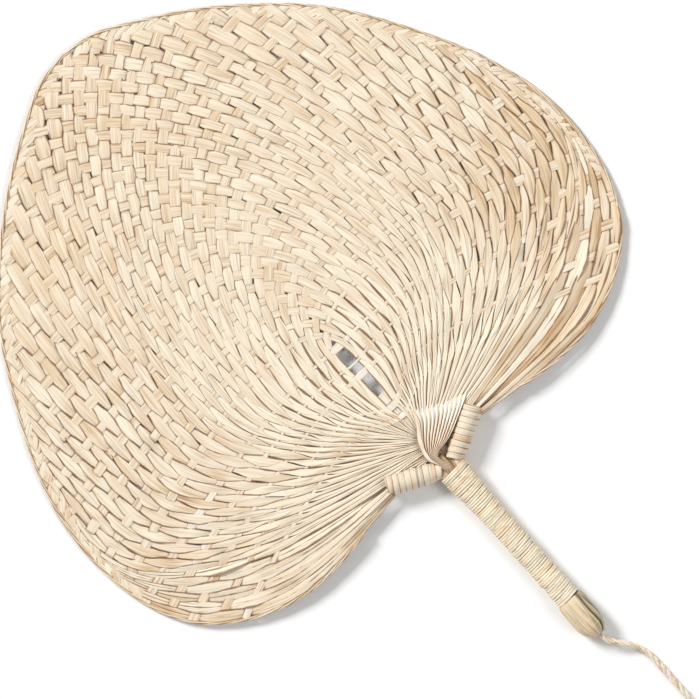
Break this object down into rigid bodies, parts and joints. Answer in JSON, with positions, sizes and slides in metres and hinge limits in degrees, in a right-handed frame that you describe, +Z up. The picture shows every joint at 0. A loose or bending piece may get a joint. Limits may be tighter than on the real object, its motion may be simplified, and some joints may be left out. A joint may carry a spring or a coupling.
{
  "type": "palm leaf fan",
  "caption": "Heart-shaped hand fan woven from one split palm leaf, with a gathered edge, bound arms, a wrapped handle and a hanging cord.",
  "frame": {"origin": "on the table under the middle of blade and handle, with the fan lying on its back", "axes": "+Y from the handle to the blade's tip, +Z up through the front of the blade, +X to the right seen from the front"},
  "size_m": [0.309, 0.4822, 0.014],
  "materials": {
    "leaf_strip": "dry straw-coloured palm leaf, silky, with fine veins",
    "pale_strip": "pale dry palm leaf, silky, with fine veins",
    "arm_strip": "flat strip of dry palm leaf, wound tight",
    "binding_thread": "fine leaf-fibre thread, wound tight",
    "stalk": "dry leaf stalk",
    "cap_leaf": "folded dry palm leaf",
    "green_cap_leaf": "folded dry palm leaf, grey-green",
    "cord": "twisted leaf-fibre cord"
  },
  "bodies": {
    "fan": {"right_segment_01": "leaf_strip", "right_segment_02": "leaf_strip", "right_segment_03": "leaf_strip", "right_segment_04": "leaf_strip", "right_segment_05": "leaf_strip", "right_segment_06": "leaf_strip", "right_segment_07": "leaf_strip", "right_segment_08": "leaf_strip", "right_segment_09": "leaf_strip", "right_segment_10": "leaf_strip", "right_segment_11": "leaf_strip", "right_segment_12": "leaf_strip", "right_segment_13": "leaf_strip", "right_segment_14": "leaf_strip", "right_segment_15": "leaf_strip", "right_segment_16": "leaf_strip", "right_segment_17": "leaf_strip", "right_segment_18": "leaf_strip", "right_segment_19": "leaf_strip", "right_segment_20": "leaf_strip", "left_segment_01": "leaf_strip", "left_segment_02": "leaf_strip", "left_segment_03": "leaf_strip", "left_segment_04": "leaf_strip", "left_segment_05": "leaf_strip", "left_segment_06": "leaf_strip", "left_segment_07": "leaf_strip", "left_segment_08": "leaf_strip", "left_segment_09": "leaf_strip", "left_segment_10": "leaf_strip", "left_segment_11": "leaf_strip", "left_segment_12": "leaf_strip", "left_segment_13": "leaf_strip", "left_segment_14": "leaf_strip", "left_segment_15": "leaf_strip", "left_segment_16": "leaf_strip", "left_segment_17": "leaf_strip", "left_segment_18": "leaf_strip", "left_segment_19": "leaf_strip", "left_segment_20": "leaf_strip", "cross_strip_1": "pale_strip", "cross_strip_2": "pale_strip", "cross_strip_3": "pale_strip", "cross_strip_4": "pale_strip", "cross_strip_5": "pale_strip", "right_leaf_base": "pale_strip", "left_leaf_base": "pale_strip", "right_gathered_edge": "leaf_strip", "left_gathered_edge": "leaf_strip", "right_arm_binding": "arm_strip", "left_arm_binding": "arm_strip", "leaf_stalk": "stalk", "handle_binding": "binding_thread", "end_cap_front_leaf": "cap_leaf", "end_cap_back_leaf": "green_cap_leaf"},
    "cord": {"cord": "cord", "cord_knot": "cord", "cord_eye": "cord"}
  },
  "joints": [
    {"name": "cord_swing", "type": "hinge", "parent": "fan", "child": "cord", "pos_m": [-0.00227, -0.1882, 0.00685], "axis": [0, 0, 1], "range_deg": [-45, 45]}
  ]
}
